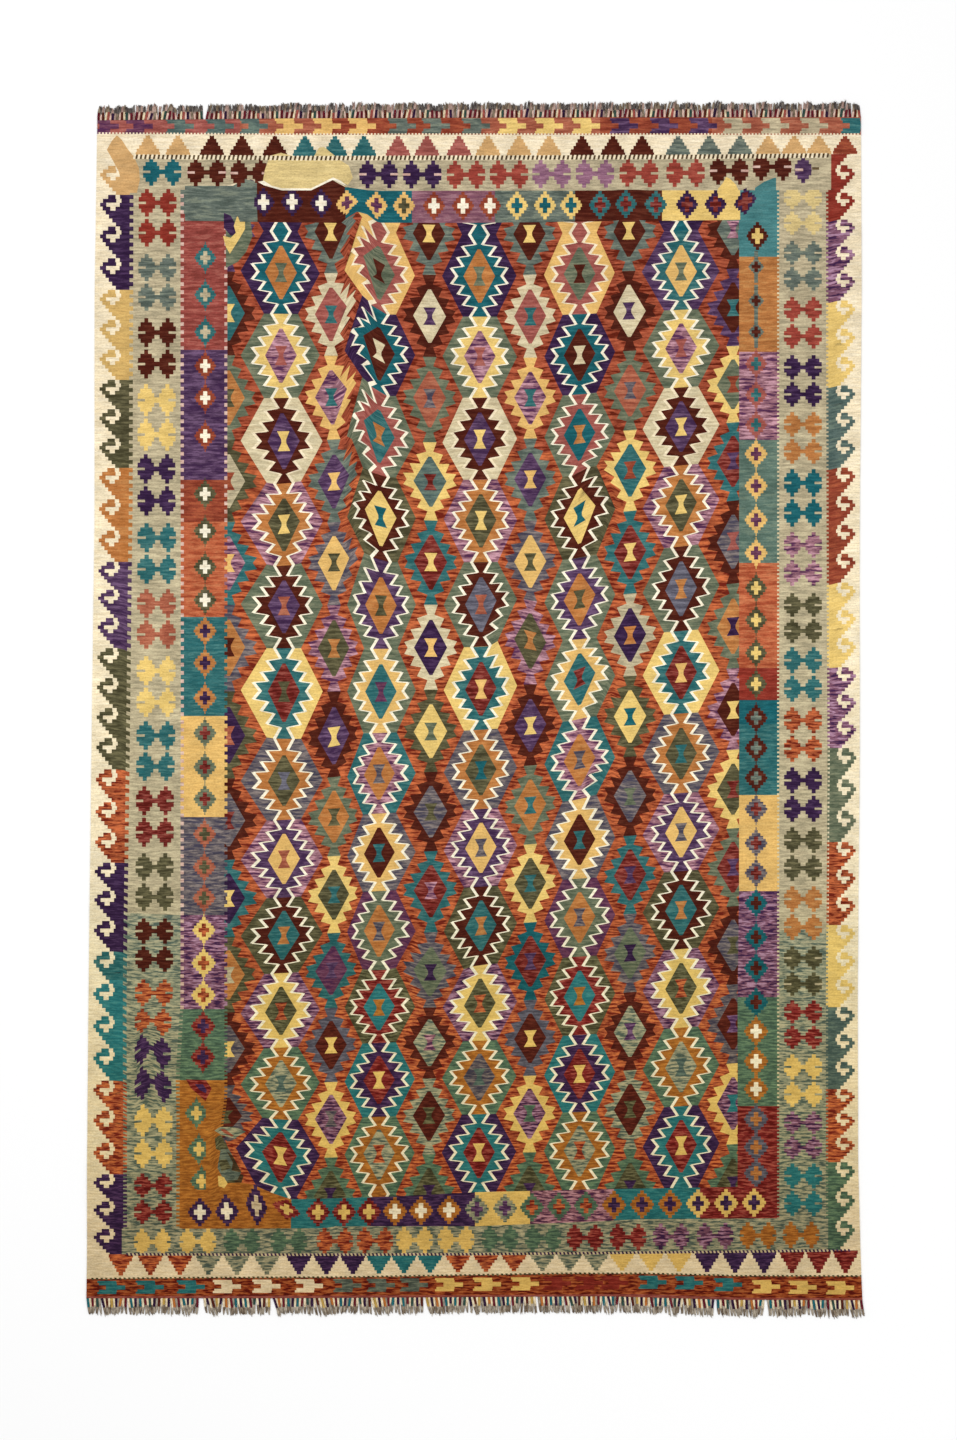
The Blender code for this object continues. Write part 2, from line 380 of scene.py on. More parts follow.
# Borders: half the width of a diamond and of a butterfly's lobe at each of their rows of steps
guardSpans = evenSpans((1.8, 4.6, 7.6, 10.2, 11.8, 10.2, 7.6, 4.6, 1.8))
lobeSpans = evenSpans((2, 5.8, 8.2, 8.5, 8.2, 5.8, 2))
slimLobeSpans = evenSpans((2, 5.4, 7.6, 8.4, 7.6, 5.4, 2))
hookSpans = (  # yarn on each row of one hook, counted from its tip; None runs on to the edge of the border
    ((8, 15.5), (19.8, None)), ((2.8, 16.3), (21.3, None)), ((0, 6.3), (19.6, None)),
    ((2.5, 10.3), (15.4, None)), ((5.6, None),), ((8.8, None),), ((12.2, None),), ((15.8, None),),
)
strips = (  # yarn and corners of the ground under the butterflies
    ("khaki", ((128, 150), (186, 150), (186, 915), (122, 915))),
    ("greyKhaki", ((122, 915), (186, 915), (186, 1256), (122, 1256))),
    ("khaki", ((776, 150), (830, 150), (828, 930), (777, 930))),
    ("greyKhaki", ((777, 930), (828, 930), (828, 1250), (777, 1250))),
)
leftHooks = (  # top, bottom, how many, yarn
    (166, 195, 1, "tanGold"), (195, 290, 3, "darkPurple"), (290, 380, 3, "mustard"), (380, 468, 3, "olive"),
    (468, 562, 3, "orangeBrown"), (562, 652, 3, "purple"), (652, 772, 4, "olive"), (772, 863, 3, "rust"),
    (863, 955, 3, "darkPurple"), (955, 1084, 4, "teal"), (1084, 1174, 3, "rust"),
    (1174, 1256, 3, "darkPurple"),
)
rightHooks = (
    (137, 222, 3, "brickRed"), (222, 303, 3, "plum"), (303, 388, 3, "yellow"), (388, 470, 3, "slateTeal"),
    (470, 585, 4, "brick"), (585, 668, 3, "yellow"), (668, 748, 3, "plum"), (748, 842, 3, "sage"),
    (842, 925, 3, "rust"), (925, 1007, 3, "yellow"), (1007, 1089, 3, "slateTeal"), (1089, 1162, 3, "rust"),
    (1162, 1250, 3, "sage"),
)
leftButterflies = (  # top, bottom, yarn: two in each
    (188, 248, "brickRed"), (253, 312, "slateGreen"), (317, 380, "maroon"), (383, 452, "yellow"),
    (453, 517, "darkPurple"), (522, 585, "teal"), (588, 650, "coral"), (655, 718, "yellow"),
    (720, 782, "teal"), (785, 848, "madder"), (852, 912, "olive"), (917, 973, "maroon"),
    (978, 1037, "rust"), (1037, 1104, "darkPurple"), (1106, 1169, "yellow"), (1172, 1225, "madder"),
)
rightButterflies = (
    (185, 236, "paleGold"), (240, 292, "slateGreen"), (296, 350, "scarlet"), (354, 408, "darkPurple"),
    (411, 465, "orange"), (468, 528, "petrol"), (531, 587, "lilac"), (592, 644, "olive"),
    (646, 703, "teal"), (706, 763, "rust"), (766, 823, "darkPurple"), (826, 882, "olive"),
    (885, 941, "orange"), (945, 997, "olive"), (999, 1050, "madder"), (1053, 1108, "yellow"),
    (1110, 1160, "plum"), (1162, 1217, "teal"),
)
leftGuard = (  # top, bottom, ground, diamond and its cross, width of the diamonds, their heights
    (190, 214, "slateGreen", "sage sage", 1, ()),
    (214, 350, "roseBrick", "teal khaki", .9, (258, 295, 332)),
    (350, 480, "purple", "brick white", .9, (366, 398, 436)),
    (480, 522, "brick", "olive white", .95, (494,)),
    (522, 617, "terracotta", "olive white", .95, (531, 567, 600)),
    (617, 716, "teal", "orange darkPurple", .95, (631, 663, 698)),
    (716, 817, "gold", "sage madder", .95, (733, 767, 799)),
    (817, 915, "slate", "coral olive", .95, (834, 867, 898)),
    (915, 1009, "plum", "yellow rust", .95, (930, 963, 995)),
    (1009, 1080, "sage", "madder darkPurple", .95, (1026, 1057)),
    (1080, 1228, "orangeBrown", "sage yellow", .9, (1113, 1149, 1181)),
)
rightGuard = (
    (178, 257, "paleTeal", "maroon yellow", .9, ()),
    (257, 352, "orange", "slateGreen maroon", .65, (267, 301, 332)),
    (352, 440, "lilac", "rose teal", .9, (364, 395, 425)),
    (440, 563, "dimGreen", "gold aubergine", .95, (454, 486, 520, 553)),
    (563, 668, "terracotta", "olive yellow", .9, (588, 620, 653)),
    (668, 700, "brickRed", "olive yellow", .9, (684,)),
    (700, 724, "petrol", "maroon slateGreen", .95, (718,)),
    (724, 795, "teal", "maroon slateGreen", .95, (748, 778)),
    (795, 891, "gold", "slate madder", .95, (809, 843, 873)),
    (891, 997, "plum", "petrol maroon", .95, (903, 937, 968, 1002)),
    (997, 1106, "sage", "orangeBrown white", .95, (1031, 1061, 1089)),
    (1106, 1219, "madder", "slateBlue orange", .95, (1119, 1147, 1173)),
)
leftBorder = {  # its lines run through pairs of a row and a warp
    "side": 1,  # 1 where the hooks point left, -1 where they point right
    "comb": ((150, 130), (500, 129), (760, 126), (990, 123), (1250, 123.5)),  # where the hooks start
    "hooks": leftHooks,
    "hookShare": 1,  # width of the hooks
    "hookComb": (None, 8),  # yarn between the teeth of their blocks, height of a tooth with its gap
    "hookTeeth": 3.8,  # length of these teeth
    "flutter": ((150, 158), (1250, 153)),
    "butterflies": leftButterflies,
    "outer": ((100, 184), (1000, 184), (1080, 180), (1300, 179.5)),
    "inner": ((100, 224.5), (1300, 224.5)),
    "middle": ((200, 205.5), (800, 205), (1057, 203), (1113, 196.6), (1149, 199), (1181, 201.7), (1230, 203)),
    "guard": leftGuard,
    "guardComb": ("boneRose", 8),
    "guardTeeth": 3.4,
}
rightBorder = {
    "side": -1,
    "comb": ((150, 828), (530, 828.5), (760, 829.5), (990, 828), (1250, 828)),
    "hooks": rightHooks,
    "hookShare": .9,
    "hookComb": (None, 4.2),
    "hookTeeth": 2.2,
    "flutter": ((150, 802.7), (1250, 803)),
    "butterflies": rightButterflies,
    "outer": ((100, 777), (1300, 777)),
    "inner": ((100, 739), (900, 739), (1000, 737.5), (1300, 737.5)),
    "middle": ((200, 756), (1200, 756)),
    "guard": rightGuard,
    "guardComb": ("ecru", 4.1),
    "guardTeeth": 2.2,
}
motifs = {
    "hook": 29.6,  # from the comb to the tip of a hook
    "tooth": .55,  # share of a tooth in its height with the gap
    "lowRow": 1000,  # blocks below this row have low teeth, and guards no light gaps
    "lowTooth": 3.9,
    "innerTeeth": 3,  # length of the teeth towards the field, on the left
    "innerComb": (None, 7.7),  # as guardComb, for blocks that start below innerRow
    "innerRow": 500,
    "diamond": 26,  # height of a diamond in the guards
    "eye": (2.2, 5.6, 5.9),  # half its narrow and wide rows; how many of them make a diamond's height
    "small": .8,  # diamonds slimmer than this are lower too, with a bold eye and link
    "boldEye": 1.25,
    "link": 16,  # half the length of the link through a diamond
    "linkWidths": (.5, 1.9),  # half its width, plain and bold
    "largeRow": 960,  # diamonds below this row are larger
    "large": 1.06,
    "wing": 10.7,  # from the middle of a butterfly to that of a lobe
    "body": 4,  # half the width of what joins its lobes
    "bodyRows": 6,  # how many of it make a butterfly's height
    "slitRows": 12,
    "slitStarts": (1, 4),  # from the middle of a lobe to its slit, plain and slim
    "slitEnd": .2,  # how far the slit runs out of the lobe
    "apart": 2.4,  # between one butterfly of a pair and the next
}


def guardDiamond(x, y, yarn, eye, height=26.0, slim=1.0, slope=0.0, eyeSize=1.0):
    spans = [(low * slim, high * slim) for low, high in guardSpans]
    stairs(yarn, x, y, height / len(spans), spans, slope)
    narrow, wide, rows = motifs["eye"]
    narrow, wide = narrow * slim * eyeSize, wide * slim * eyeSize
    stairs(eye, x, y, height / rows * eyeSize, evenSpans((narrow, wide, narrow)), slope)


def butterfly(x, y, height, yarn, slit="khaki", reach=motifs["wing"], lobe=lobeSpans):
    for side in (-1, 1):
        stairs(yarn, x + side * reach, y, height / len(lobe), lobe)
    stairs(yarn, x, y, height / motifs["bodyRows"], evenSpans((motifs["body"],)))
    start = motifs["slitStarts"][lobe is slimLobeSpans]
    for side in (-1, 1):
        ends = sorted((side * (reach + lobe[3][1] + motifs["slitEnd"]), side * (reach + start)))
        stairs(slit, x, y, height / motifs["slitRows"], [ends], 0, True)


def dovetails(yarn, line, top, bottom, near, far, comb):
    # short teeth that tie a block to the ground beside it, some with light yarn between them
    gap, period = comb
    if top > motifs["lowRow"]:
        period = motifs["lowTooth"]
    teeth = max(1, round((bottom - top) / period))
    rise = (bottom - top) / teeth
    for number in range(teeth):
        upper, middle, lower = (top + (number + share) * rise for share in (0, motifs["tooth"], 1))
        edge = lineAt(line, upper)
        block(yarn, edge + near, edge + far, upper, middle, True)
        if gap:
            block(gap, edge, edge + far, middle, lower, True)


def weaveHooks(border):
    side, comb, share = border["side"], border["comb"], border["hookShare"]
    for top, bottom, count, yarn in border["hooks"]:
        rise = (bottom - top) / count / len(hookSpans)
        for number in range(count * len(hookSpans)):
            upper, lower = top + number * rise, top + (number + 1) * rise
            edge = lineAt(comb, upper)
            for low, high in hookSpans[number % len(hookSpans)]:
                start = edge - side * (motifs["hook"] - low) * share
                stop = edge if high is None else edge - side * (motifs["hook"] - high) * share
                block(yarn, start, stop, upper, lower)
        dovetails(yarn, comb, top, bottom, -side, side * border["hookTeeth"], border["hookComb"])


def weaveButterflies(border):
    for top, bottom, yarn in border["butterflies"]:
        half = (bottom - top) / 2
        for y in (top + half / 2, bottom - half / 2):
            butterfly(lineAt(border["flutter"], y), y, half - motifs["apart"], yarn)


def weaveGuard(border):
    side, outer, inner = border["side"], border["outer"], border["inner"]
    gap, period = border["guardComb"]
    for top, bottom, ground, pair, slim, heights in border["guard"]:
        lay(ground, [(lineAt(outer, top), top), (lineAt(inner, top), top),
                     (lineAt(inner, bottom), bottom), (lineAt(outer, bottom), bottom)])
        comb = (gap if top < motifs["lowRow"] else None, period)
        dovetails(ground, outer, top, bottom, side, -side * border["guardTeeth"], comb)
        if side > 0:
            comb = border["guardComb"] if top < motifs["innerRow"] else motifs["innerComb"]
            dovetails(ground, inner, top, bottom, -side, side * motifs["innerTeeth"], comb)
    for top, bottom, ground, pair, slim, heights in border["guard"]:
        yarn, eye = pair.split()
        small = slim < motifs["small"]
        link, length = motifs["linkWidths"][small], motifs["link"]
        for y in heights:
            x = lineAt(border["middle"], y)
            block(yarn, x - link, x + link, y - length, y + length)
            larger = motifs["large"] if y > motifs["largeRow"] else 1
            height = motifs["diamond"] * (slim if small else larger)
            guardDiamond(x, y, yarn, eye, height, slim * larger, 0, motifs["boldEye"] if small else 1)


def weaveSides():
    for yarn, corners in strips:
        lay(yarn, list(corners))
    for weaveSide in (weaveButterflies, weaveGuard, weaveHooks):
        for border in (leftBorder, rightBorder):
            weaveSide(border)


# Ends: lines across the rug through pairs of a warp and a row, from peaks at the selvedge to the field
endSides = (84, 866)
topSelvedge = ((90, 112), (860, 112))
lowSelvedge = ((90, 1305), (860, 1305))
topPeaks = ((90, 134), (280, 135), (860, 135))
topWings = ((90, 155), (300, 157), (650, 156), (860, 154))
topGuard = (
    (90, 186), (234, 186), (247, 178), (264, 185), (282, 190), (311, 190), (333, 180), (345, 187),
    (372, 191), (400, 191), (740, 190.5), (860, 190),
)
topField = ((182, 221), (345, 223), (475, 223), (740, 220))
topStars = ((180, 203), (292, 202), (376, 206), (475, 206), (776, 204))
lowGuard = (
    (182, 1190), (251, 1188), (292, 1199), (330, 1198), (400, 1196), (475, 1192), (600, 1189), (776, 1186),
)
lowWings = ((180, 1228.5), (330, 1228), (336, 1226), (475, 1226), (600, 1221), (640, 1219), (776, 1218))
lowStars = ((180, 1212), (330, 1212), (400, 1211), (475, 1209), (600, 1205), (776, 1202))
lowPeaks = ((90, 1254), (300, 1254.5), (475, 1254), (680, 1252), (860, 1250))
lowEnd = ((90, 1278.7), (200, 1277.5), (340, 1277), (560, 1273.3), (640, 1273.3), (740, 1275.7), (860, 1276))
lowEdge = ((84, 1297.6), (475, 1296.5), (640, 1295.5), (740, 1299), (866, 1299.5))
topBand = ((90, 126.5), (860, 126))
lowBand = (
    (90, 1287.3), (250, 1286), (475, 1284), (640, 1282), (700, 1283), (730, 1286), (780, 1287), (860, 1288),
)
topFlutter = ((90, 171), (300, 174), (475, 175), (700, 173), (729, 171), (761, 166), (783, 168), (860, 171))
lowFlutter = ((90, 1242), (330, 1241), (475, 1239), (860, 1234))
fishSpans = ((0, 19), (1.5, 19.5), (8.5, 28), (8.5, 28), (1.5, 19.5), (0, 19))
topGuardBlocks = (
    (185, 257, "slateGreen"), (257, 345, "maroon"), (345, 412, "petrol"), (412, 495, "duskyRose"),
    (495, 575, "slateGreen"), (575, 662, "maroon"), (662, 740, "yellow"),
)
topGuardMotifs = (
    ("darkPurple white", (263.5, 292, 321)), ("gold aubergine", (347, 376.5)), ("gold olive", (404,)),
    ("brick white", (434, 463, 490)), ("yellow petrol", (517, 545, 571)), ("teal madder", (600, 627, 656)),
    ("darkPurple madder", (687, 715.5)),
)
topGrounds = (
    (84, 240, "rose"), (240, 330, "coral"), (330, 480, "brick"), (480, 600, "coral"), (600, 712, "brick"),
    (712, 866, "coral"),
)
lowGuardBlocks = (
    (182, 291, "orangeBrown"), (291, 370, "teal"), (370, 475, "darkPurple"), (475, 530, "yellow"),
    (530, 614, "lilac"), (614, 700, "teal"), (700, 776, "madder"),
)
lowGuardMotifs = (
    ("darkPurple white", (200, 227.5)), ("madder yellow", (318, 344, 369)),
    ("orangeBrown white", (395, 421, 449)), ("greyKhaki purple", (477, 505)),
    ("sage brick", (532, 559, 586)), ("orangeBrown darkPurple", (614, 642, 670)),
    ("yellow darkPurple", (698, 726, 754)),
)
topPairs = (
    ("petrol", (162.3,)), ("maroon", (206.8,)), ("maroon", (250,)), ("darkPurple", (378.5, 422.3)),
    ("scarlet", (466, 509)), ("dustyLilac", (551.5, 595)), ("scarlet", (639, 685.5)),
    ("maroon", (729, 772)),
)
lowPairs = (
    ("yellow", (152.5, 198)), ("sage", (242, 289)), ("brick", (335, 375)), ("yellow", (414.5, 456)),
    ("sage", (500, 543)), ("madder", (585, 628)), ("plum", (671, 715)), ("orangeBrown", (758, 801)),
)
topTriangles = (
    ("tanGold", (148, 178)), ("maroon", (212, 242, 275)), ("teal", (305, 335, 364)),
    ("rose", (398, 427, 459)), ("tanGold", (488, 519, 549)), ("maroon", (582, 613, 642)),
    ("slateGreen", (678, 709, 740)), ("tanGold", (768, 794, 819)), ("brick", (845,)),
)
lowTriangles = (
    ("rust", (121, 150.5, 180)), ("greyKhaki", (208.5, 237, 267)), ("darkPurple", (299, 326.5, 353)),
    ("teal", (379, 404, 430)), ("rust", (458, 486, 514)), ("greyKhaki", (542.5, 569.5, 596)),
    ("yellow", (622, 651, 679)), ("darkPurple", (707, 735, 764)), ("madder", (792, 818.5, 845.5)),
)
topFish = (
    ("aubergine", (103, 137)), ("slateTeal", (178, 218, 252)), ("gold", (287, 325, 360)),
    ("slateGreen", (400, 434, 474)), ("yellow", (510, 547, 584)), ("purple", (622, 662, 701)),
    ("khaki", (735, 773, 812)), ("teal", (853,)),
)
lowFish = (
    ("teal", (97.5, 136, 177)), ("cream", (213, 252.5, 295)), ("slateGreen", (333.5, 367, 400)),
    ("yellow", (435, 473, 511)), ("brickRed", (543, 575, 600)), ("teal", (638.5, 675, 714)),
    ("yellow", (752, 788.5, 826)),
)

# what the folds draw out of shape near the corners: yarn and corners
drawnOut = (
    ("paleGold", ((270, 156), (281, 153), (296, 157), (309, 161), (315, 155), (319, 148), (324, 147),
        (330, 152), (340, 160), (349, 166), (353, 178), (348, 185), (340, 182), (333, 178), (324, 183),
        (311, 189), (282, 189), (271, 186), (263, 181), (265, 170))),
    ("white", ((258, 182), (264, 181), (272, 186), (282, 188.6), (311, 188.6), (323, 182.6), (333, 177.6),
        (341, 181), (347, 186), (333, 180), (311, 190.6), (282, 190.6), (264, 185.5))),
    ("tanGold", ((117, 135.5), (122, 140), (127, 148), (134, 157), (139, 168), (140, 180), (137, 193),
        (128, 193), (121, 180), (119, 172), (110, 155), (107, 150), (112, 141))),
    ("sage", ((226, 220), (250, 218), (252, 236), (246, 252), (238, 262), (226, 268))),
    ("darkPurple", ((224, 213), (231, 216), (236, 225), (237, 234), (231, 236), (224, 228))),
    ("yellow", ((237, 217), (241, 216), (245, 222), (245, 229), (240, 238), (235, 246), (230, 254),
        (226, 247), (223, 236), (231, 238), (236, 233), (234, 226))),
    ("slateGreen", ((236, 190), (250, 180), (255, 188), (254, 206), (252, 222), (240, 222), (234, 206))),
    ("madder", ((186, 1079), (206, 1080), (213, 1090), (213, 1097), (208, 1103), (198, 1094), (191, 1088))),
    ("darkPurple", ((195, 1084), (203, 1084), (207, 1090), (206, 1093), (200, 1090))),
    ("orangeBrown", ((214, 1084), (223, 1088), (223, 1104), (221, 1116), (216, 1131), (218, 1146),
        (221, 1162), (220, 1176), (222, 1188), (206, 1190), (206, 1100))),
    ("greyKhaki", ((216, 1133), (238, 1134), (250, 1139), (240, 1147), (226, 1143))),
    ("coral", ((224, 1136), (230, 1137), (239, 1144), (237, 1145), (229, 1141))),
    ("olive", ((217, 1142), (226, 1143), (230, 1151), (238, 1156), (226, 1160), (219, 1154))),
    ("slateGreen", ((226, 1158), (236, 1157), (248, 1176), (241, 1186), (228, 1187), (221, 1174))),
    ("olive", ((223, 1168), (232, 1168), (236, 1176), (226, 1179))),
    ("umber", ((232, 1160), (240, 1166), (247, 1180), (236, 1178), (238, 1171))),
    ("rust", ((230, 1148), (242, 1158), (252, 1180), (248, 1184), (241, 1170), (233, 1156))),
    ("yellow", ((221, 1181), (228, 1184), (231, 1189), (227, 1193), (221, 1190))),
    ("paleTeal", ((774, 178), (764, 182), (755, 188), (754.5, 197), (750, 210), (742, 223), (738, 231),
        (738, 240), (776, 240), (776, 178))),
    ("yellow", ((718, 189), (723, 183), (726, 177), (730, 179), (736, 185), (739, 192), (736, 198),
        (718, 198))),
)
loneDiamonds = {  # those that stand out of line: warp, row, yarn, eye, height, width, slope, size of the eye
    "low": (
        (257.5, 1207, "darkPurple", "boneCream", 36, .85, .12),
        (286.5, 1209, "madder", "yellow", 20, 1.15, .35),
    ),
    "top": (
        (757.3, 236.3, "maroon", "yellow", 28, .92, 0, 1.1),
        (745, 201.7, "darkPurple", "madder", 26, .94, -.3, 1.35),
    ),
}
twinings = (  # line, shift down, from warp, to warp, spacing of the stitches, their height, yarn, lean
    (topPeaks, 0, 98, 861, 3.4, 3, "cream", 0), (topWings, 1.4, 135, 829, 4.4, 4.2, "umber", -1),
    (topWings, 1.4, 133, 829, 4.4, 4.8, "cream", -1),
)
lowTwinings = ((lowPeaks, 0, 125, 850, 3.9, 2.6, "darkPurple", 1), (lowEnd, 0, 90, 862, 4.6, 2.2, "olive", 1))
guardRows = ((topGuardMotifs, topStars, .92, 1.08), (lowGuardMotifs, lowStars, 1, 1.05))  # width, eye
peakRows = ((topTriangles, topWings, topPeaks, 1), (lowTriangles, lowPeaks, lowEnd, -3))  # rows past the tips
fishRows = ((topFish, topBand, 2.6, -12), (lowFish, lowBand, 2.2, 0))  # height of a step, shift across
peakWidths = (12.2, 11.2, 8.6, 6.3, 4.6, 2.3)  # half the width of a peak at each row of steps
bandStep = 12  # warps from one corner of a band to the next


def shifted(line, rows):
    return tuple((x, y + rows) for x, y in line)


def band(yarn, x0, x1, upper, lower):
    steps = max(1, round((x1 - x0) / bandStep))
    across = [x0 + (x1 - x0) * n / steps for n in range(steps + 1)]
    lay(yarn, [(x, lineAt(upper, x)) for x in across] + [(x, lineAt(lower, x)) for x in reversed(across)])


def peak(x, base, tip, yarn):
    rise = (tip - base) / len(peakWidths)
    for number, width in enumerate(peakWidths):
        block(yarn, x - width, x + width, base + number * rise, base + (number + 1) * rise)


def twining(line, x0, x1, period, height, yarn, lean):  # a row of slanting stitches across the rug
    for number in range(round((x1 - x0) / period)):
        x = x0 + (number + .25) * period
        y = lineAt(line, x)
        lay(yarn, [(x, y - height / 2), (x + period / 2, y - height / 2),
                   (x + period / 2 + lean, y + height / 2), (x + lean, y + height / 2)], True)


def weaveEnds():
    band("cream", *endSides, topPeaks, topWings)
    band("khaki", 130, 831, topWings, topGuard)
    for x0, x1, yarn in topGrounds:
        band(yarn, x0, x1, topSelvedge, topPeaks)
    band("greyKhaki", 122, 828, lowWings, lowPeaks)
    band("cream", *endSides, lowPeaks, lowEnd)
    band("bandRust", *endSides, lowEnd, lowSelvedge)
    band("rose", *endSides, shifted(lowEdge, -1.6), lowSelvedge)
    for blocks, upper, lower in ((topGuardBlocks, topGuard, topField), (lowGuardBlocks, lowGuard, lowWings)):
        for x0, x1, yarn in blocks:
            band(yarn, x0, x1, upper, lower)
    for table, line, slim, size in guardRows:
        for pair, places in table:
            yarn, eye = pair.split()
            for x in places:
                guardDiamond(x, lineAt(line, x), yarn, eye, 28, slim, 0, size)
    for diamond in loneDiamonds["low"]:
        guardDiamond(*diamond)
    for yarn, places in topPairs:
        slit = "boneRose" if yarn in ("maroon", "darkPurple") else "khaki"
        for x in places:
            butterfly(x, lineAt(topFlutter, x), 28, yarn, slit, 10.9)
    stairs("purple", 803, 170, 3.8, lobeSpans)  # the last lobe at the upper right, with its slits
    block("boneRose", 795, 803, 168.8, 171.4, True)
    block("umber", 812, 819, 167.5, 170, True)
    for yarn, places in lowPairs:
        for x in places:
            butterfly(x, lineAt(lowFlutter, x), 26.5, yarn, "greyKhaki", 10.4, slimLobeSpans)
    for table, base, tip, beyond in peakRows:
        for yarn, places in table:
            for x in places:
                peak(x, lineAt(base, x), lineAt(tip, x) + beyond, yarn)
    for table, line, rise, shift in fishRows:
        for yarn, places in table:
            for x in places:
                stairs(yarn, x + shift, lineAt(line, x), rise, fishSpans)
    for yarn, corners in drawnOut:
        lay(yarn, list(corners))
    for diamond in loneDiamonds["top"]:
        guardDiamond(*diamond)
    for line, down, *stitches in twinings:
        twining(shifted(line, down), *stitches)
    band("ecru", 128, 828, shifted(lowPeaks, -1.2), shifted(lowPeaks, 1.2))
    for line, down, *stitches in lowTwinings:
        twining(shifted(line, down), *stitches)


def weave():
    areas.clear()
    block("cream", 70, 880, 100, 1320)  # runs past the outline of the cloth, which cuts it
    weaveField()
    weaveSides()
    weaveEnds()
    for number, (yarn, corners, fine) in enumerate(areas):
        if sum(y for x, y in corners) / len(corners) > freshRow:
            areas[number] = (fresher.get(yarn, yarn), corners, fine)
    return areas


# The cloth
def turnedLeft(ring):  # the corners in the order that keeps the area on their left
    doubled = sum(a[0] * b[1] - b[0] * a[1] for a, b in zip(ring, ring[1:] + ring[:1]))
    return ring if doubled > 0 else ring[::-1]


def upperHeight(x, y):  # height of the cloth's upper side
    high, small = loom["fineRipple"]
    slack = noise.noise(Vector((x, y, 0)) / loom["rippleSize"])
    slack += high * noise.noise(Vector((x, y, 3)) / (small * loom["rippleSize"]))
    return foldHeight(x, y) + loom["ripple"] * max(0, loom["level"] + slack) + loom["thickness"]


def yarnColours(name):  # plain, deep (its alpha is how strongly both ends show) and pale
    plain, deep, pale, amount = yarns[name]
    return (*toLinear(plain), 1.0), (*toLinear(deep), amount), (*toLinear(pale), 1.0)


def newLayers(cloth):
    colours = [cloth.loops.layers.float_color.new(name) for name in ("yarn", "deep", "pale")]
    return colours, cloth.loops.layers.uv.new("cloth")


def spread(cloth, layers, shapes, outline, ease, drop):
    # lays one side of the cloth out as flat triangles of single yarns, bent over the folds
    points, corners = [], []
    for ring in [outline] + [shape for yarn, shape, fine in shapes]:
        corners.append(list(range(len(points), len(points) + len(ring))))
        points += [Vector(point) for point in turnedLeft(ring)]
    margin = loom["margin"]
    wide = [min(p[0] for p in outline) + margin, max(p[0] for p in outline) - margin]
    tall = [min(p[1] for p in outline) + margin, max(p[1] for p in outline) - margin]
    for row in range(int((tall[1] - tall[0]) / ease) + 1):
        for warp in range(int((wide[1] - wide[0]) / ease) + 1):
            points.append(Vector((wide[0] + warp * ease, tall[0] + row * ease)))
    cut = delaunay_2d_cdt(points, [], corners, 1, loom["merge"])
    spots, faces, fromFaces = cut[0], cut[2], cut[5]
    places = {}
    verts = []
    for spot in spots:
        x, y = toMetres(*pulled(spot.x, spot.y))
        verts.append(cloth.verts.new((x, y, upperHeight(x, y) - drop)))
        places[verts[-1]] = (spot.x, spot.y)
    for face, sources in zip(faces, fromFaces):
        if 0 not in sources:
            continue
        colours = yarnColours(shapes[max(sources) - 1][0])
        polygon = cloth.faces.new([verts[n] for n in face])
        polygon.smooth = True
        for loop, n in zip(polygon.loops, face):
            for layer, colour in zip(layers[0], colours):
                loop[layer] = colour
            loop[layers[1]].uv = toMetres(spots[n].x, spots[n].y)
    bmesh.ops.delete(cloth, geom=[v for v in verts if not v.link_faces], context="VERTS")
    return places


def rimOf(cloth, places):  # the chart places once round the open edge of the upper side
    rim = [next(v for v in cloth.verts if v.is_boundary)]
    seen = set(rim)
    while True:
        ahead = [e.other_vert(rim[-1]) for e in rim[-1].link_edges if e.is_boundary]
        ahead = [v for v in ahead if v not in seen]
        if not ahead:
            return [places[v] for v in rim]
        rim.append(ahead[0])
        seen.add(ahead[0])


def newPiece(name, shape):  # an object in the scene from a finished bmesh
    mesh = bpy.data.meshes.new(name)
    shape.to_mesh(mesh)
    shape.free()
    piece = bpy.data.objects.new(name, mesh)
    bpy.context.scene.collection.objects.link(piece)
    return piece


def makeCloth():
    shapes = weave()
    cloth = bmesh.new()
    layers = newLayers(cloth)
    places = spread(cloth, layers, shapes, clothOutline(), loom["ease"], 0)
    print("woven areas", len(shapes), "triangles of the upper side", len(cloth.faces))
    rim = rimOf(cloth, places)
    edges = [e for e in cloth.edges if e.is_boundary]
    for edge in edges:
        edge.smooth = False
    turned = bmesh.ops.extrude_edge_only(cloth, edges=edges)["geom"]
    below = [v for v in turned if isinstance(v, bmesh.types.BMVert)]
    bmesh.ops.translate(cloth, verts=below, vec=(0, 0, -loom["thickness"]))
    for edge in turned:
        if isinstance(edge, bmesh.types.BMEdge) and edge.is_boundary:
            edge.smooth = False
    bold = [shape for shape in shapes if not shape[2]]
    under = spread(cloth, layers, bold, rim, loom["backEase"], loom["thickness"])
    joined = below + [v for v in under if v.is_valid and v.is_boundary]
    bmesh.ops.remove_doubles(cloth, verts=joined, dist=loom["weld"])
    bmesh.ops.recalc_face_normals(cloth, faces=cloth.faces)
    opened = sum(1 for e in cloth.edges if not e.is_manifold)
    print("triangles of the cloth", sum(len(f.verts) - 2 for f in cloth.faces), "open edges", opened)
    return newPiece("kilim", cloth)


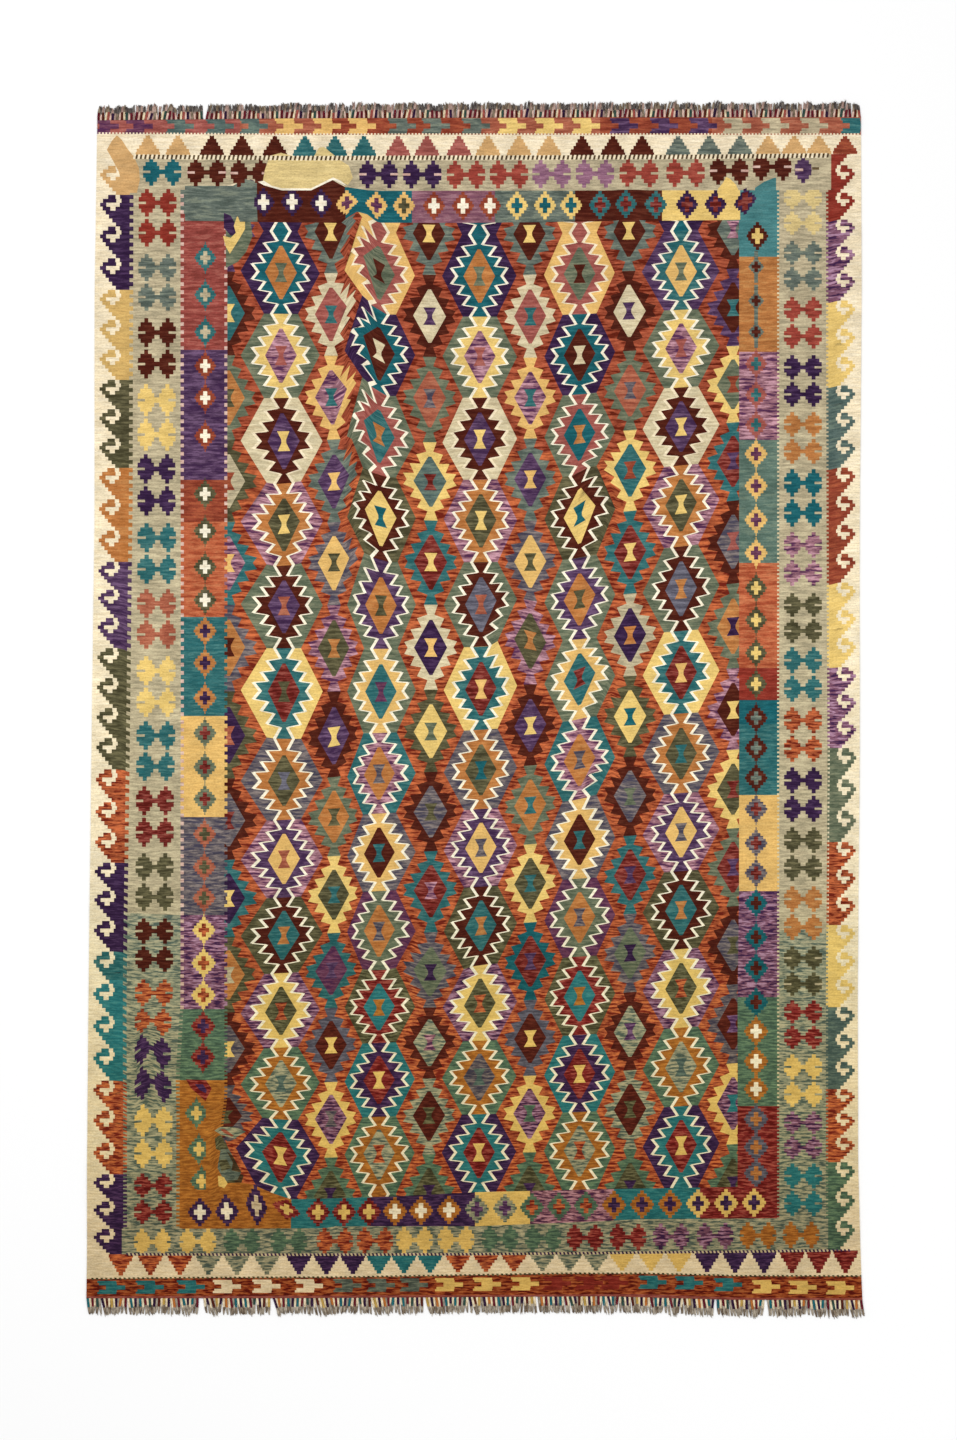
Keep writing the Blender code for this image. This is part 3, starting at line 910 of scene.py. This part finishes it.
# The fringes: the ends of the warps, every other one wrapped in coloured yarn
fringes = {  # in metres where nothing else is said
    "width": 770,  # of the cloth's ends, in warps
    "gap": 2.37,  # from one strand to the next, in warps
    "strand": (0.0036, 0.0014),  # half the width and half the height of a strand
    "strandSides": (6, 7),  # sides round it and steps along it
    "fibre": (0.0012, 0.0007),  # the same of a loose fibre
    "fibreSides": (3, 3),
    "fibres": 3,  # loose fibres at each strand
    "taper": (0.7, 0.4),  # share of the length at which both narrow, share that they lose
    "wrapped": (0.55, 0.08),  # share of the length that is wrapped, give or take
    "lift": 0.0016,  # height of the middle of a strand at the cloth's edge
    "clear": 0.0002,  # between that edge and the strand
    "raised": (0.0004, 0.0006),  # how much higher the wrapped ones lie there and at their tips
    "bare": 0.6,  # share of a gap in which no strand starts
    "parting": (0.0022, 7),  # lean away from a gap for each warp of it, and how far this reaches
    "bunches": (9, 28),  # width of a bunch of strands and of a drift of bunches, in warps
    "stray": (0.25, 0.0016, 0.0012),  # what chance adds to reach, lean and bow, either way
    "fibreStarts": (0.3, 0.6),  # shares of the strand's length between which a fibre leaves it
    "fibreStops": (0.85, 1.12),
    "fibreAway": (0.002, 0.006),  # how far aside it starts and ends
    "fibreHeights": (0.0026, 0.0002, 0.003),  # at its start, and what chance adds at its end
}
lowFringe = {
    "end": -1, "seed": 3, "reach": (0.037, 0.044), "lean": 0.006, "fray": 0.5,
    "cycle": ("petrol", "wrapMadder", "bottle", "nightPurple", "maroon", "wrapYellow", "nightPurple",
              "wrapOrange", "wrapMadder", "petrol", "nightPurple"),
    "plain": ("boneCream", "boneCream", "warpGrey", "boneCream"),
    "tips": ("warpGrey", "warpBrown", "warpGrey"),
    "gaps": ((201, 4), (272, 2), (425, 2), (537, 1.3), (716, 1.3), (766, 3)),  # middle, half the width
}
topFringe = {
    "end": 1, "seed": 8, "reach": (0.031, 0.040), "lean": 0.005, "fray": 0.8,
    "cycle": ("wrapMadder", "maroon", "roseBrick", "nightPurple", "warpBrown", "maroon", "bottle",
              "wrapMadder"),
    "plain": ("boneRose", "boneCream", "boneRose", "warpPink"),
    "tips": ("warpDark", "warpBrown", "warpDark", "warpPink"),
    "gaps": ((205, 2.5),),
}


def strandShape(name, sides, steps):  # a round strand one unit long, narrower at its far end
    shape = bmesh.new()
    ring = bmesh.ops.create_circle(shape, cap_ends=True, segments=sides, radius=1.0)["verts"]
    bmesh.ops.rotate(shape, verts=ring, cent=(0, 0, 0), matrix=Matrix.Rotation(math.radians(90), 3, "X"))
    edges = [e for e in shape.edges]
    for step in range(steps):
        grown = bmesh.ops.extrude_edge_only(shape, edges=edges)["geom"]
        edges = [e for e in grown if isinstance(e, bmesh.types.BMEdge)
                 and all(v in grown for v in e.verts) and e.is_boundary]
        ring = list({v for e in edges for v in e.verts})
        bmesh.ops.translate(shape, verts=ring, vec=(0, 1 / steps, 0))
    bmesh.ops.holes_fill(shape, edges=edges)
    start, loss = fringes["taper"]
    for vert in shape.verts:
        taper = 1.0 if vert.co.y < start else 1.0 - (vert.co.y - start) / (1 - start) * loss
        vert.co.x *= taper
        vert.co.z *= taper
    mesh = bpy.data.meshes.new(name)
    shape.to_mesh(mesh)
    shape.free()
    return mesh


def hangStrand(fringe, layers, shape, foot, tip, bow, size, colourAt):
    # copies the strand into the fringe from foot to tip; bow carries its middle sideways
    started, faced = len(fringe.verts), len(fringe.faces)
    fringe.from_mesh(shape)
    fringe.verts.ensure_lookup_table()
    fringe.faces.ensure_lookup_table()
    shares = {}
    for vert in fringe.verts[started:]:
        share = vert.co.y
        shares[vert] = share
        middle = Vector(foot).lerp(Vector(tip), share)
        middle.z = tip[2] + (foot[2] - tip[2]) * (1 - share) ** 2
        middle.x += bow * math.sin(share * math.pi)
        vert.co = middle + Vector((vert.co.x * size[0], 0, vert.co.z * size[1]))
    for face in fringe.faces[faced:]:
        face.smooth = True
        share = sum(shares[v] for v in face.verts) / len(face.verts)
        for loop in face.loops:
            for layer, colour in zip(layers[0], colourAt(share)):
                loop[layer] = colour
            loop[layers[1]].uv = (loop.vert.co.x, loop.vert.co.y)


def makeFringe(name, look):
    draw = random.Random(look["seed"])
    strand = strandShape(name + "Strand", *fringes["strandSides"])
    fibre = strandShape(name + "Fibre", *fringes["fibreSides"])
    fringe = bmesh.new()
    layers = newLayers(fringe)
    end, (shortest, longest) = look["end"], look["reach"]
    strayReach, strayLean, strayBow = fringes["stray"]
    perWarp, fade = fringes["parting"]
    narrow, broad = fringes["bunches"]
    count = round(fringes["width"] / fringes["gap"])
    for number in range(count):
        x, y = clothPoint((number + 0.5) / count, 1 if end > 0 else 0)
        warp = toChart(x, y)[0]
        if any(abs(warp - gap) < half * fringes["bare"] for gap, half in look["gaps"]):
            continue
        parted = sum(math.copysign(half * perWarp * math.exp(-abs(warp - gap) / fade), warp - gap)
                     for gap, half in look["gaps"])
        edge = upperHeight(x, y) - loom["thickness"] + fringes["lift"]
        group = noise.noise(Vector((warp / narrow, 5 * end, 0)))
        group += 0.6 * noise.noise(Vector((warp / broad, 9 * end, 0)))
        share = min(max(0.5 + group + draw.uniform(-strayReach, strayReach), 0), 1)
        reach = shortest + (longest - shortest) * share
        lean = look["lean"] * (0.5 + 2.2 * group) + parted + draw.uniform(-strayLean, strayLean)
        wrapped = number % 2 == 0
        kinds, tips = look["cycle" if wrapped else "plain"], look["tips"]
        first, last = kinds[number // 2 % len(kinds)], tips[draw.randrange(len(tips))]
        ends = yarnColours(first), yarnColours(last)
        turn = fringes["wrapped"][0] + draw.uniform(-fringes["wrapped"][1], fringes["wrapped"][1])
        raised = fringes["raised"] if wrapped else (0, 0)
        foot = (x, y + end * fringes["clear"], edge + raised[0])
        tip = (x + lean, y + end * reach, fringes["strand"][1] + 0.0001 + raised[1])
        bow = draw.uniform(-strayBow, strayBow)
        hangStrand(fringe, layers, strand, foot, tip, bow, fringes["strand"],
                   lambda share: ends[0] if share < turn else ends[1])
        for extra in range(fringes["fibres"]):
            start, stop = draw.uniform(*fringes["fibreStarts"]), draw.uniform(*fringes["fibreStops"])
            aside, beyond = fringes["fibreAway"]
            away = draw.uniform(-1, 1) * beyond * look["fray"]
            near = Vector(foot).lerp(Vector(tip), start) + Vector((draw.uniform(-aside, aside), 0, 0))
            near.z, low, high = fringes["fibreHeights"]
            height = fringes["fibre"][1] + draw.uniform(low, high)
            far = (x + lean * stop + away, y + end * reach * stop, height)
            hangStrand(fringe, layers, fibre, tuple(near), far, 0.0, fringes["fibre"], lambda share: ends[1])
    bmesh.ops.recalc_face_normals(fringe, faces=fringe.faces)
    print("triangles of", name, sum(len(f.verts) - 2 for f in fringe.faces))
    for spare in (strand, fibre):
        bpy.data.meshes.remove(spare)
    return newPiece(name, fringe)


# Materials
def addNode(tree, kind, settings=None, inputs=()):
    # inputs go by name or by number; each is a value, a socket, or a node for its first output
    node = tree.nodes.new(kind)
    for name, value in (settings or {}).items():
        setattr(node, name, value)
    for name, value in inputs.items() if isinstance(inputs, dict) else enumerate(inputs):
        if isinstance(value, bpy.types.Node):
            value = value.outputs[0]
        if isinstance(value, bpy.types.NodeSocket):
            tree.links.new(value, node.inputs[name])
        else:
            node.inputs[name].default_value = value
    return node


def startWool(name):
    material = bpy.data.materials.new(name)
    material.use_nodes = True
    return material, material.node_tree, addNode(material.node_tree, "ShaderNodeUVMap", {"uv_map": "cloth"})


def unevenDye(tree, place, look, fineShare):
    # each yarn drifts to its deep and pale ends in wide and fine streaks; the threads give the heights of its
    # relief, which the materials also use as painted highlight on the threads and painted shade between them
    grains = []
    for name, detail in (("wide", 3.0), ("fine", 2.0), ("thread", 2.0), ("slub", 2.0)):
        scale = [1000 / size for size in look[name]]
        spaced = addNode(tree, "ShaderNodeMapping", {}, {"Vector": place, "Scale": (*scale, 1)})
        settings = {"Vector": spaced, "Scale": 1.0, "Detail": detail}
        grains.append(addNode(tree, "ShaderNodeTexNoise", {}, settings))
    wide, fine, thread, slub = grains
    drift = addNode(tree, "ShaderNodeMix", {"data_type": "FLOAT"}, {0: fineShare, 2: wide, 3: fine})
    names = ("yarn", "deep", "pale")
    dyed, deep, pale = [addNode(tree, "ShaderNodeVertexColor", {"layer_name": name}) for name in names]
    for tone, start, stop in ((deep, 0.485, 0.435), (pale, 0.515, 0.575)):
        share = addNode(tree, "ShaderNodeMapRange", {"interpolation_type": "SMOOTHSTEP"},
                        (drift, start, stop, 0.0, 1.0))
        share = addNode(tree, "ShaderNodeMath", {"operation": "MULTIPLY"}, (share, deep.outputs["Alpha"]))
        dyed = addNode(tree, "ShaderNodeMix", {"data_type": "RGBA"}, {0: share, 6: dyed, 7: tone}).outputs[2]
    return dyed, addNode(tree, "ShaderNodeMath", {"operation": "ADD"}, (thread, slub))


def finishWool(tree, colour, threadHighlightAndShade, threads, relief):
    shader = tree.nodes["Principled BSDF"]
    # the colour is scaled by the painted highlight and shade of the threads
    toned = addNode(tree, "ShaderNodeVectorMath", {"operation": "SCALE"}, {0: colour, "Scale": threadHighlightAndShade})
    strength, depth = relief
    bump = addNode(tree, "ShaderNodeBump", {}, {"Strength": strength, "Distance": depth, "Height": threads})
    tree.links.new(toned.outputs[0], shader.inputs["Base Color"])
    tree.links.new(bump.outputs[0], shader.inputs["Normal"])
    for name, value in (("Roughness", 0.95), ("Specular IOR Level", 0.1), ("Sheen Weight", 0.03)):
        shader.inputs[name].default_value = value


# Handspun wool in weft-faced tapestry: matt, ribbed across, its vegetable dyes uneven along each weft.
# Real wefts lie about 1 mm apart; the ribs are drawn 3.3 mm apart, as coarse as they need to be to show
tapestryLook = {  # lengths along and across the weft in millimetres
    "wide": (66.67, 9.091), "fine": (25.64, 4.785), "thread": (5, 3.333), "slub": (27.78, 4.444),
    "patch": (66.67, 45.45),
    "fineShare": (-1.2, 0.3, 0.85, 0.4),  # from and to, in metres along the rug, and the shares there
    "patches": (0.35, 0.65, 0.9, 1.1),  # noise from and to, and the light that is kept there
    # painted highlight on the raised threads and painted shade between them: their heights from and to, and the
    # light kept there
    "threadHighlightAndShade": (0.6, 1.4, 0.72, 1.28),
    "relief": (0.45, 0.0012),  # strength and depth in metres
}
# Tone along the rug: metres along the rug, share of light kept in red, green and blue, and the gamma
# that deepens them. The cloth is darker towards both ends, and deeper and warmer towards the lower end
toneAlong = (
    (-1.48, (.68, .62, .54), 1.10), (-1.325, (.68, .62, .53), 1.10), (-1.151, (.76, .72, .60), 1.08),
    (-.922, (.80, .76, .64), 1.06), (-.641, (.84, .84, .76), 1.03), (-.437, (.92, .92, .90), 1),
    (-.2, (.96, .96, .94), 1), (.277, (1, 1, 1), 1), (.76, (.95, .94, .94), 1), (1.3, (.93, .92, .94), 1),
)
toneAlongEnds = (-1.5, 1.5)


def handspunWoolTapestry():
    material, tree, place = startWool("handspunWoolTapestry")
    height = addNode(tree, "ShaderNodeSeparateXYZ", {}, (place,)).outputs["Y"]
    fineShare = addNode(tree, "ShaderNodeMapRange", {}, (height, *tapestryLook["fineShare"]))
    dyed, threads = unevenDye(tree, place, tapestryLook, fineShare)
    # darkens and warms the colour by place along the rug, most towards the lower end
    low, high = toneAlongEnds
    along = addNode(tree, "ShaderNodeMapRange", {}, (height, low, high, 0.0, 1.0))
    ramps = []
    for colours in ([kept for y, kept, gamma in toneAlong], [3 * (gamma - 1,) for y, kept, gamma in toneAlong]):
        ramp = addNode(tree, "ShaderNodeValToRGB", {}, (along,))
        stops = ramp.color_ramp.elements
        while len(stops) < len(toneAlong):
            stops.new(0.5)
        for stop, row, colour in zip(stops, toneAlong, colours):
            stop.position = (row[0] - low) / (high - low)
            stop.color = (*colour, 1.0)
        ramps.append(ramp)
    gamma = addNode(tree, "ShaderNodeMath", {"operation": "ADD"}, (ramps[1], 1.0))
    deeper = addNode(tree, "ShaderNodeGamma", {}, (dyed, gamma))
    tonedAlong = addNode(tree, "ShaderNodeMix", {"data_type": "RGBA", "blend_type": "MULTIPLY"},
                   {0: 1.0, 6: deeper, 7: ramps[0]}).outputs[2]
    scale = [1000 / size for size in tapestryLook["patch"]]
    spaced = addNode(tree, "ShaderNodeMapping", {}, {"Vector": place, "Scale": (*scale, 1)})
    patches = addNode(tree, "ShaderNodeTexNoise", {}, {"Vector": spaced, "Scale": 1.0, "Detail": 2.0})
    patches = addNode(tree, "ShaderNodeMapRange", {}, (patches, *tapestryLook["patches"]))
    # painted highlight and shade: the bump's thread heights lighten the raised threads and darken between them;
    # random patches of tone then scale this
    threadHighlightAndShade = addNode(tree, "ShaderNodeMapRange", {}, (threads, *tapestryLook["threadHighlightAndShade"]))
    threadHighlightAndShade = addNode(tree, "ShaderNodeMath", {"operation": "MULTIPLY"}, (threadHighlightAndShade, patches))
    finishWool(tree, tonedAlong, threadHighlightAndShade, threads, tapestryLook["relief"])
    return material


# Twisted wool warp: matt, its fibres running down the strand, drawn a millimetre apart so that they show
warpLook = {  # lengths across and along the strand in millimetres
    "wide": (5.556, 16.67), "fine": (2.137, 8.772), "thread": (1.111, 8.333), "slub": (2.315, 11.11),
    "fineShare": 0.4,
    # painted highlight on the raised fibres and painted shade between them: their heights from and to, and the
    # light kept there
    "threadHighlightAndShade": (0.6, 1.4, 0.7, 1.3),
    "relief": (0.5, 0.001),
}


def twistedWoolWarp():
    material, tree, place = startWool("twistedWoolWarp")
    dyed, threads = unevenDye(tree, place, warpLook, warpLook["fineShare"])
    # painted highlight and shade: the fibre heights of the bump lighten the raised fibres and darken between
    # them
    threadHighlightAndShade = addNode(tree, "ShaderNodeMapRange", {}, (threads, *warpLook["threadHighlightAndShade"]))
    finishWool(tree, dyed, threadHighlightAndShade, threads, warpLook["relief"])
    return material


print("weaving the cloth")
kilim = makeCloth()
kilim.data.materials.append(handspunWoolTapestry())
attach(kilim, "root")
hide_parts("kilim_body")

print("knotting the fringes")
warpWool = twistedWoolWarp()
ends = (("fringeTop", topFringe, "fringe_top"), ("fringeBottom", lowFringe, "fringe_bottom"))
for name, look, node in ends:
    piece = makeFringe(name, look)
    piece.data.materials.append(warpWool)
    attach(piece, "root")
    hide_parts(node)

# The studio: pale floor, even soft light, camera straight over the rug
print("setting up the studio")
studio = {
    "floorColour": "fdfdfd", "floorRoughness": 0.9, "floorSize": 20,
    "distance": 8.67, "lookAt": (0.0105, -0.0293), "lens": 85.0, "sensor": 36.0, "farthest": 60,
    "skylight": 0.68,
    "lights": (("keyLight", (-3.2, 3.6, 6.4), 2.5, 182), ("fillLight", (3.2, -3.6, 6.4), 4.0, 120)),
}
ground = bmesh.new()
bmesh.ops.create_grid(ground, x_segments=1, y_segments=1, size=studio["floorSize"])
floor = newPiece("floor", ground)
paint = bpy.data.materials.new("paintedStudioFloor")  # matt white paint, which shows only soft shadows
paint.use_nodes = True
paintShader = paint.node_tree.nodes["Principled BSDF"]
paintShader.inputs["Base Color"].default_value = (*toLinear(studio["floorColour"]), 1)
paintShader.inputs["Roughness"].default_value = studio["floorRoughness"]
floor.data.materials.append(paint)

world = bpy.data.worlds.new("studio")
bpy.context.scene.world = world
world.use_nodes = True
world.node_tree.nodes["Background"].inputs["Color"].default_value = (1, 1, 1, 1)
world.node_tree.nodes["Background"].inputs["Strength"].default_value = studio["skylight"]
for name, place, size, power in studio["lights"]:
    data = bpy.data.lights.new(name, "AREA")
    data.size = size
    data.energy = power
    light = bpy.data.objects.new(name, data)
    light.location = place
    light.rotation_euler = (-Vector(place)).to_track_quat("-Z", "Y").to_euler()
    bpy.context.scene.collection.objects.link(light)

camData = bpy.data.cameras.new("camera")
camData.lens = studio["lens"]
camData.sensor_fit = "VERTICAL"
camData.sensor_height = studio["sensor"]
camData.clip_end = studio["farthest"]
camera = bpy.data.objects.new("camera", camData)
camera.location = (*studio["lookAt"], studio["distance"])
bpy.context.scene.collection.objects.link(camera)
bpy.context.scene.camera = camera
bpy.context.scene.view_settings.view_transform = "Standard"
